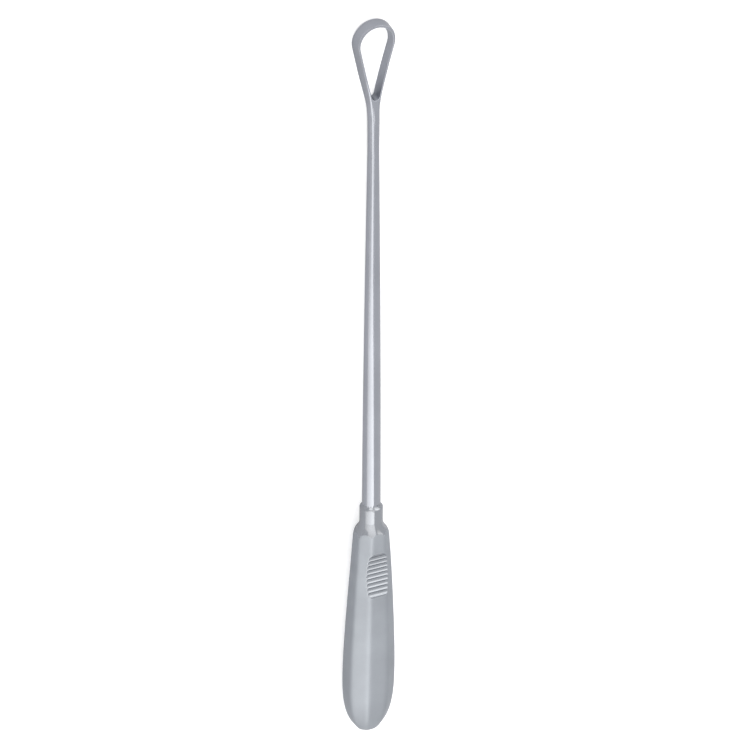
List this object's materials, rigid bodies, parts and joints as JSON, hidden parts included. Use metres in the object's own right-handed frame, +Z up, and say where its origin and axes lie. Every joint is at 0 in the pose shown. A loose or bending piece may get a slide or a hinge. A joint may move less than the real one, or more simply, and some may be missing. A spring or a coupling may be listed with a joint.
{
  "type": "uterine curette",
  "caption": "Surgical scraping instrument: an open teardrop loop on a slender tapered shaft, set in an eight-sided pear-shaped handle with a ribbed thumb rest.",
  "frame": {"origin": "middle of the footprint, on the surface that the tool lies on", "axes": "+Y along the tool, from the butt of the handle to the tip of the loop; +Z up, the side of the thumb rest; X across the tool"},
  "size_m": [0.0198, 0.3098, 0.017],
  "materials": {
    "handle_steel": "satin, bead blasted",
    "blade_steel": "fine ground, half bright"
  },
  "bodies": {
    "root": {"handle": "handle_steel", "loop_and_shaft": "blade_steel"}
  },
  "joints": []
}
